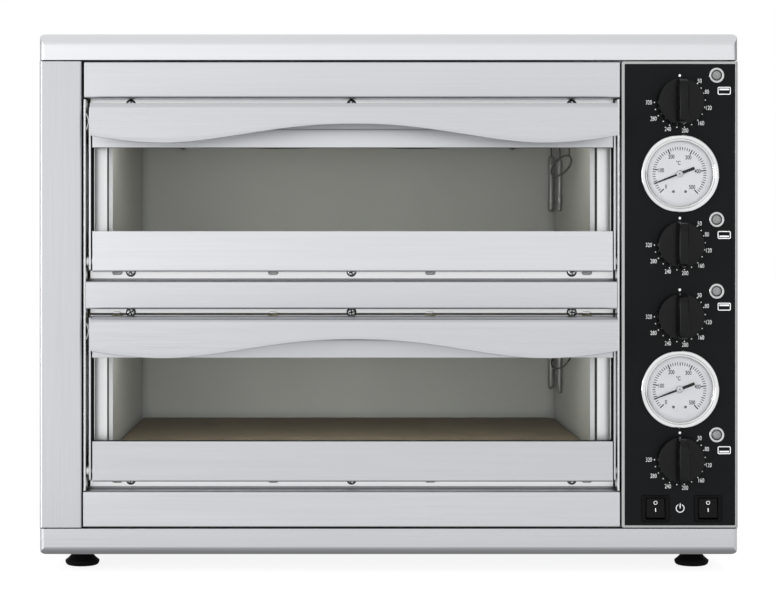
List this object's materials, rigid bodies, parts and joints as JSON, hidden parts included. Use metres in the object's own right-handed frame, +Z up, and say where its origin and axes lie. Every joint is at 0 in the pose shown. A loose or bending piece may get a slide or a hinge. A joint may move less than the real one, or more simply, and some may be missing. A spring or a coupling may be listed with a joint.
{
  "type": "countertop pizza oven",
  "caption": "Two-deck electric countertop pizza oven with drop-down glass doors, wavy hood handles, a black control panel with thermostats and thermometers, and levelling feet.",
  "frame": {"origin": "on the counter, under the centre of the casing", "axes": "+X to the user's right, doors face -Y, +Z up; all moving parts at rest with doors shut and feet screwed in"},
  "size_m": [0.5704, 0.564, 0.4372],
  "materials": {
    "brushed_steel_light": "satin brushed stainless sheet",
    "brushed_steel_base": "satin brushed stainless sheet",
    "galvanised_steel": "plain zinc-coated sheet",
    "aluminised_steel": "dull grey-green heat-proof sheet",
    "bright_steel": "bright plated",
    "black_panel": "satin black overlay",
    "black_knob": "satin black moulded",
    "black_moulding": "black moulded",
    "foot_rubber": "matt black",
    "fire_stone": "unglazed refractory",
    "element_sheath": "oxidised tube",
    "insulation_wool": "mineral wool",
    "door_glass": "clear tempered",
    "instrument_glass": "clear",
    "lamp_glass": "grey translucent",
    "dial_white": "satin white",
    "needle_black": "satin black",
    "seal_grey": "woven glass-fibre",
    "thermostat_ceramic": "unglazed",
    "copper_tube": "drawn tube",
    "cable_black": "matt sheath",
    "terminal_nylon": "natural nylon",
    "wire_red": "silicone-covered wire"
  },
  "bodies": {
    "casing": {"base_pan": "brushed_steel_base", "lid_cover": "brushed_steel_light", "left_side_panel": "brushed_steel_light", "right_side_panel": "brushed_steel_light", "back_panel": "galvanised_steel", "chassis_posts": "galvanised_steel", "top_fascia": "brushed_steel_light", "middle_fascia": "brushed_steel_light", "bottom_fascia": "brushed_steel_light", "door_jambs": "brushed_steel_light", "control_panel_frame": "brushed_steel_light", "control_faceplate": "black_panel", "upper_chamber_liner": "aluminised_steel", "lower_chamber_liner": "aluminised_steel", "upper_chamber_facing": "brushed_steel_light", "lower_chamber_facing": "brushed_steel_light", "upper_baking_stone": "fire_stone", "lower_baking_stone": "fire_stone", "top_heating_elements": "element_sheath", "bottom_heating_elements": "element_sheath", "insulation_slabs": "insulation_wool", "heat_shield": "galvanised_steel", "thermostat_bodies": "thermostat_ceramic", "sensor_bulbs": "copper_tube", "sensor_guards": "bright_steel", "pilot_lamp_bezels": "black_moulding", "pilot_lamp_lenses": "lamp_glass", "thermometer_cases": "bright_steel", "thermometer_dials": "dial_white", "thermometer_lenses": "instrument_glass", "switch_housings": "black_moulding", "terminal_block": "terminal_nylon", "cable_gland": "black_moulding", "power_cord": "cable_black", "wiring_harness": "wire_red", "facing_screws": "bright_steel", "casing_screws": "bright_steel", "door_catch_springs": "bright_steel", "door_hinge_pins": "bright_steel"},
    "upper_door": {"upper_door_frame": "brushed_steel_light", "upper_door_glass": "door_glass", "upper_door_seals": "seal_grey", "upper_door_handle": "brushed_steel_light"},
    "lower_door": {"lower_door_frame": "brushed_steel_light", "lower_door_glass": "door_glass", "lower_door_seals": "seal_grey", "lower_door_handle": "brushed_steel_light"},
    "upper_deck_top_knob": {"upper_deck_top_knob": "black_knob"},
    "upper_deck_bottom_knob": {"upper_deck_bottom_knob": "black_knob"},
    "lower_deck_top_knob": {"lower_deck_top_knob": "black_knob"},
    "lower_deck_bottom_knob": {"lower_deck_bottom_knob": "black_knob"},
    "left_rocker": {"left_rocker": "black_knob"},
    "right_rocker": {"right_rocker": "black_knob"},
    "upper_needle": {"upper_thermometer_needle": "needle_black"},
    "lower_needle": {"lower_thermometer_needle": "needle_black"},
    "foot_front_left": {"foot_front_left": "foot_rubber"},
    "foot_front_right": {"foot_front_right": "foot_rubber"},
    "foot_rear_left": {"foot_rear_left": "foot_rubber"},
    "foot_rear_right": {"foot_rear_right": "foot_rubber"}
  },
  "joints": [
    {"name": "upper_door_hinge", "type": "hinge", "parent": "casing", "child": "upper_door", "pos_m": [-0.0296, -0.228, 0.2528], "axis": [1, 0, 0], "range_deg": [0, 90]},
    {"name": "lower_door_hinge", "type": "hinge", "parent": "casing", "child": "lower_door", "pos_m": [-0.0296, -0.228, 0.0828], "axis": [1, 0, 0], "range_deg": [0, 90]},
    {"name": "upper_deck_top_knob_turn", "type": "hinge", "parent": "casing", "child": "upper_deck_top_knob", "pos_m": [0.2355, -0.245, 0.3816], "axis": [0, 1, 0], "range_deg": [0, 270]},
    {"name": "upper_deck_bottom_knob_turn", "type": "hinge", "parent": "casing", "child": "upper_deck_bottom_knob", "pos_m": [0.2355, -0.245, 0.2663], "axis": [0, 1, 0], "range_deg": [0, 270]},
    {"name": "lower_deck_top_knob_turn", "type": "hinge", "parent": "casing", "child": "lower_deck_top_knob", "pos_m": [0.2355, -0.245, 0.2083], "axis": [0, 1, 0], "range_deg": [0, 270]},
    {"name": "lower_deck_bottom_knob_turn", "type": "hinge", "parent": "casing", "child": "lower_deck_bottom_knob", "pos_m": [0.2355, -0.245, 0.0927], "axis": [0, 1, 0], "range_deg": [0, 270]},
    {"name": "upper_needle_swing", "type": "hinge", "parent": "casing", "child": "upper_needle", "pos_m": [0.2355, -0.234, 0.3236], "axis": [0, 1, 0], "range_deg": [-23, 248]},
    {"name": "lower_needle_swing", "type": "hinge", "parent": "casing", "child": "lower_needle", "pos_m": [0.2355, -0.234, 0.1492], "axis": [0, 1, 0], "range_deg": [-23, 248]},
    {"name": "left_rocker_tilt", "type": "hinge", "parent": "casing", "child": "left_rocker", "pos_m": [0.2158, -0.2332, 0.0529], "axis": [1, 0, 0], "range_deg": [0, 19.2]},
    {"name": "right_rocker_tilt", "type": "hinge", "parent": "casing", "child": "right_rocker", "pos_m": [0.2583, -0.2332, 0.0529], "axis": [1, 0, 0], "range_deg": [0, 19.2]},
    {"name": "foot_front_left_screw", "type": "slide", "parent": "casing", "child": "foot_front_left", "axis": [0, 0, -1], "range_m": [0, 0.008]},
    {"name": "foot_rear_left_screw", "type": "slide", "parent": "casing", "child": "foot_rear_left", "axis": [0, 0, -1], "range_m": [0, 0.008]},
    {"name": "foot_front_right_screw", "type": "slide", "parent": "casing", "child": "foot_front_right", "axis": [0, 0, -1], "range_m": [0, 0.008]},
    {"name": "foot_rear_right_screw", "type": "slide", "parent": "casing", "child": "foot_rear_right", "axis": [0, 0, -1], "range_m": [0, 0.008]}
  ]
}
